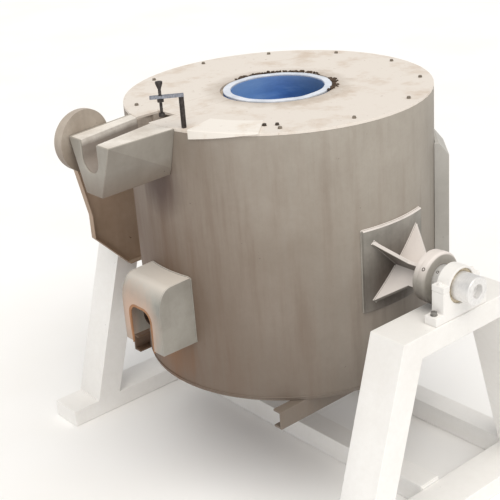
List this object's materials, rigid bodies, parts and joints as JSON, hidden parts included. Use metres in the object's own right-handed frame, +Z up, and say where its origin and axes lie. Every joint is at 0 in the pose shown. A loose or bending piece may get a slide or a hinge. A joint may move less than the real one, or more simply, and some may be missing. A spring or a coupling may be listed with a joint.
{
  "type": "tilting melting furnace",
  "caption": "Lined steel drum furnace with a crucible and a pouring spout, hung on trunnions in a floor stand and tilted by a handwheel, pinion and gear quadrant.",
  "frame": {"origin": "on the floor, under the drum's axis", "axes": "+Z up, the spout pours towards -Y, +X along the trunnions, away from the handwheel"},
  "size_m": [2.522, 1.854, 2.0203],
  "materials": {
    "shell_paint": "dull satin",
    "deck_paint": "dull satin",
    "stand_paint": "satin",
    "dark_iron": "dull",
    "machined_steel": "machined",
    "bronze": "machined",
    "refractory": "rough",
    "insulating_brick": "rough",
    "white_cement": "matt",
    "blue_glaze": "glazed",
    "black_grip": "matt"
  },
  "bodies": {
    "stand": {"side_frame_right": "stand_paint", "side_frame_left": "stand_paint", "cross_beam_centre": "stand_paint", "cross_beam_rear": "stand_paint", "bearing_housing_right": "stand_paint", "bearing_cap_right": "stand_paint", "bearing_bush_right": "bronze", "bearing_housing_left": "stand_paint", "bearing_cap_left": "stand_paint", "bearing_bush_left": "bronze", "pinion_bearing": "dark_iron", "gear_guard": "shell_paint", "guard_bush": "bronze", "splash_shield": "shell_paint"},
    "vessel": {"shell": "shell_paint", "bottom_plate": "shell_paint", "deck_plate": "deck_paint", "insulation": "insulating_brick", "hot_face_lining": "refractory", "hearth_floor": "refractory", "cover_ring": "refractory", "crucible_pedestal": "refractory", "crucible": "blue_glaze", "mouth_ring": "white_cement", "launder_trough": "refractory", "launder_cover": "deck_paint", "spout_casing": "shell_paint", "spout_lining": "refractory", "spout_boss": "shell_paint", "cover_plate": "deck_paint", "clamp_post": "dark_iron", "clamp_arm": "machined_steel", "clamp_nut": "dark_iron", "trunnion_saddle_right": "shell_paint", "trunnion_ribs_right": "shell_paint", "trunnion_hub_right": "shell_paint", "trunnion_collar_right": "shell_paint", "trunnion_shaft_right": "machined_steel", "trunnion_saddle_left": "shell_paint", "trunnion_ribs_left": "shell_paint", "trunnion_hub_left": "shell_paint", "trunnion_collar_left": "shell_paint", "trunnion_shaft_left": "machined_steel", "hood_sheet": "shell_paint", "hood_cheek_right": "shell_paint", "hood_cheek_left": "shell_paint", "burner_block": "refractory", "burner_tube": "dark_iron", "flue_duct": "shell_paint", "base_channel_right": "shell_paint", "base_channel_left": "shell_paint", "tilt_quadrant": "dark_iron"},
    "clamp_pad": {"clamp_pad": "dark_iron"},
    "clamp_screw": {"clamp_screw": "dark_iron"},
    "drive": {"drive_pinion": "dark_iron", "pinion_shaft": "machined_steel", "handwheel": "dark_iron"},
    "grip": {"handwheel_grip": "black_grip"}
  },
  "joints": [
    {"name": "vessel_tilt", "type": "hinge", "parent": "stand", "child": "vessel", "pos_m": [0, 0, 1.15], "axis": [1, 0, 0], "range_deg": [0, 85]},
    {"name": "pinion_turn", "type": "hinge", "parent": "stand", "child": "drive", "pos_m": [-1.2, 0.29032, 0.93712], "axis": [1, 0, 0], "range_deg": [-340, 0]},
    {"name": "grip_spin", "type": "hinge", "parent": "drive", "child": "grip", "pos_m": [-1.3, 0.29032, 1.17712], "axis": [1, 0, 0], "continuous": true},
    {"name": "pad_travel", "type": "slide", "parent": "vessel", "child": "clamp_pad", "axis": [0, 0, -1], "range_m": [0, 0.025]},
    {"name": "screw_turn", "type": "hinge", "parent": "clamp_pad", "child": "clamp_screw", "pos_m": [0.1085, -0.7242, 1.95], "axis": [0, 0, -1], "range_deg": [0, 1800]}
  ],
  "couplings": [
    {"joint": "pinion_turn", "follows": "vessel_tilt", "ratio": -4},
    {"joint": "screw_turn", "follows": "pad_travel", "rad_per_m": 1256.6}
  ]
}
